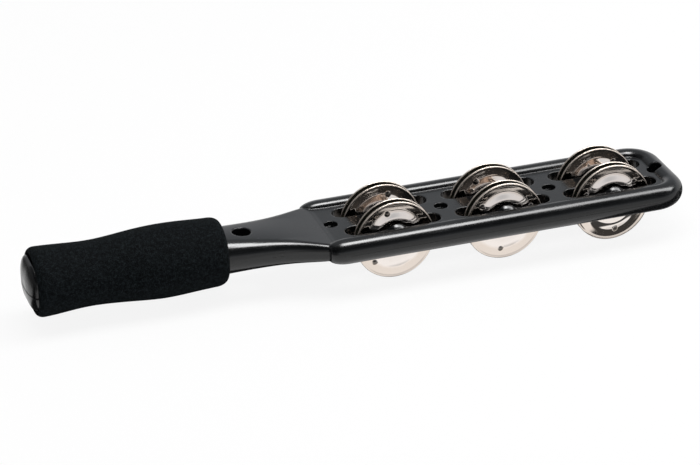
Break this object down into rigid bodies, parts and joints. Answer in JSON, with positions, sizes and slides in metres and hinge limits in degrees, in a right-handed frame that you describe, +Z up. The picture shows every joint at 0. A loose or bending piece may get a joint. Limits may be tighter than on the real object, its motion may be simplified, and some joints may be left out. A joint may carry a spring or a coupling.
{
  "type": "jingle stick",
  "caption": "Hand-held jingle stick: black moulded head with slots of paired dished jingles on cross pins, flared neck and foam grip.",
  "frame": {"origin": "middle of the stick's length and width, on the plane that its jingles touch when it lies flat", "axes": "+X along the stick from the pommel to the tip, +Y across the head, +Z up out of the flat web"},
  "size_m": [0.4, 0.0692, 0.0496],
  "materials": {
    "black_plastic": "black moulded plastic with a soft gloss",
    "black_foam": "matte black closed-cell foam with fine open cells on its skin",
    "nickel_plate": "bright nickel-plated pressed sheet",
    "pin_steel": "bright drawn steel wire",
    "screw_steel": "blackened steel"
  },
  "bodies": {
    "frame": {"upper_frame": "black_plastic", "lower_frame": "black_plastic", "foam_grip": "black_foam", "frame_screw_1": "screw_steel", "frame_screw_2": "screw_steel", "frame_screw_3": "screw_steel"},
    "jingle_pin_front_1": {"jingle_pin_front_1": "pin_steel"},
    "jingle_front_1_outer": {"jingle_front_1_outer": "nickel_plate"},
    "jingle_front_1_inner": {"jingle_front_1_inner": "nickel_plate"},
    "jingle_pin_front_2": {"jingle_pin_front_2": "pin_steel"},
    "jingle_front_2_outer": {"jingle_front_2_outer": "nickel_plate"},
    "jingle_front_2_inner": {"jingle_front_2_inner": "nickel_plate"},
    "jingle_pin_front_3": {"jingle_pin_front_3": "pin_steel"},
    "jingle_front_3_outer": {"jingle_front_3_outer": "nickel_plate"},
    "jingle_front_3_inner": {"jingle_front_3_inner": "nickel_plate"},
    "jingle_pin_back_1": {"jingle_pin_back_1": "pin_steel"},
    "jingle_back_1_outer": {"jingle_back_1_outer": "nickel_plate"},
    "jingle_back_1_inner": {"jingle_back_1_inner": "nickel_plate"},
    "jingle_pin_back_2": {"jingle_pin_back_2": "pin_steel"},
    "jingle_back_2_outer": {"jingle_back_2_outer": "nickel_plate"},
    "jingle_back_2_inner": {"jingle_back_2_inner": "nickel_plate"},
    "jingle_pin_back_3": {"jingle_pin_back_3": "pin_steel"},
    "jingle_back_3_outer": {"jingle_back_3_outer": "nickel_plate"},
    "jingle_back_3_inner": {"jingle_back_3_inner": "nickel_plate"}
  },
  "joints": [
    {"name": "pin_front_1_spin", "type": "hinge", "parent": "frame", "child": "jingle_pin_front_1", "pos_m": [0.0184, -0.0126, 0.0281], "axis": [0, 1, 0], "continuous": true},
    {"name": "jingle_front_1_outer_slide", "type": "slide", "parent": "jingle_pin_front_1", "child": "jingle_front_1_outer", "axis": [0, 1, 0], "range_m": [-0.0003, 0.0012]},
    {"name": "jingle_front_1_inner_slide", "type": "slide", "parent": "jingle_pin_front_1", "child": "jingle_front_1_inner", "axis": [0, 1, 0], "range_m": [-0.0012, 0.0015]},
    {"name": "pin_front_2_spin", "type": "hinge", "parent": "frame", "child": "jingle_pin_front_2", "pos_m": [0.0869, -0.0126, 0.0281], "axis": [0, 1, 0], "continuous": true},
    {"name": "jingle_front_2_outer_slide", "type": "slide", "parent": "jingle_pin_front_2", "child": "jingle_front_2_outer", "axis": [0, 1, 0], "range_m": [-0.0003, 0.0012]},
    {"name": "jingle_front_2_inner_slide", "type": "slide", "parent": "jingle_pin_front_2", "child": "jingle_front_2_inner", "axis": [0, 1, 0], "range_m": [-0.0012, 0.0015]},
    {"name": "pin_front_3_spin", "type": "hinge", "parent": "frame", "child": "jingle_pin_front_3", "pos_m": [0.1554, -0.0126, 0.0281], "axis": [0, 1, 0], "continuous": true},
    {"name": "jingle_front_3_outer_slide", "type": "slide", "parent": "jingle_pin_front_3", "child": "jingle_front_3_outer", "axis": [0, 1, 0], "range_m": [-0.0003, 0.0012]},
    {"name": "jingle_front_3_inner_slide", "type": "slide", "parent": "jingle_pin_front_3", "child": "jingle_front_3_inner", "axis": [0, 1, 0], "range_m": [-0.0012, 0.0015]},
    {"name": "pin_back_1_spin", "type": "hinge", "parent": "frame", "child": "jingle_pin_back_1", "pos_m": [0.0184, 0.0126, 0.0281], "axis": [0, 1, 0], "continuous": true},
    {"name": "jingle_back_1_outer_slide", "type": "slide", "parent": "jingle_pin_back_1", "child": "jingle_back_1_outer", "axis": [0, 1, 0], "range_m": [-0.0012, 0.0015]},
    {"name": "jingle_back_1_inner_slide", "type": "slide", "parent": "jingle_pin_back_1", "child": "jingle_back_1_inner", "axis": [0, 1, 0], "range_m": [-0.0003, 0.0012]},
    {"name": "pin_back_2_spin", "type": "hinge", "parent": "frame", "child": "jingle_pin_back_2", "pos_m": [0.0869, 0.0126, 0.0281], "axis": [0, 1, 0], "continuous": true},
    {"name": "jingle_back_2_outer_slide", "type": "slide", "parent": "jingle_pin_back_2", "child": "jingle_back_2_outer", "axis": [0, 1, 0], "range_m": [-0.0012, 0.0015]},
    {"name": "jingle_back_2_inner_slide", "type": "slide", "parent": "jingle_pin_back_2", "child": "jingle_back_2_inner", "axis": [0, 1, 0], "range_m": [-0.0003, 0.0012]},
    {"name": "pin_back_3_spin", "type": "hinge", "parent": "frame", "child": "jingle_pin_back_3", "pos_m": [0.1554, 0.0126, 0.0281], "axis": [0, 1, 0], "continuous": true},
    {"name": "jingle_back_3_outer_slide", "type": "slide", "parent": "jingle_pin_back_3", "child": "jingle_back_3_outer", "axis": [0, 1, 0], "range_m": [-0.0012, 0.0015]},
    {"name": "jingle_back_3_inner_slide", "type": "slide", "parent": "jingle_pin_back_3", "child": "jingle_back_3_inner", "axis": [0, 1, 0], "range_m": [-0.0003, 0.0012]}
  ]
}
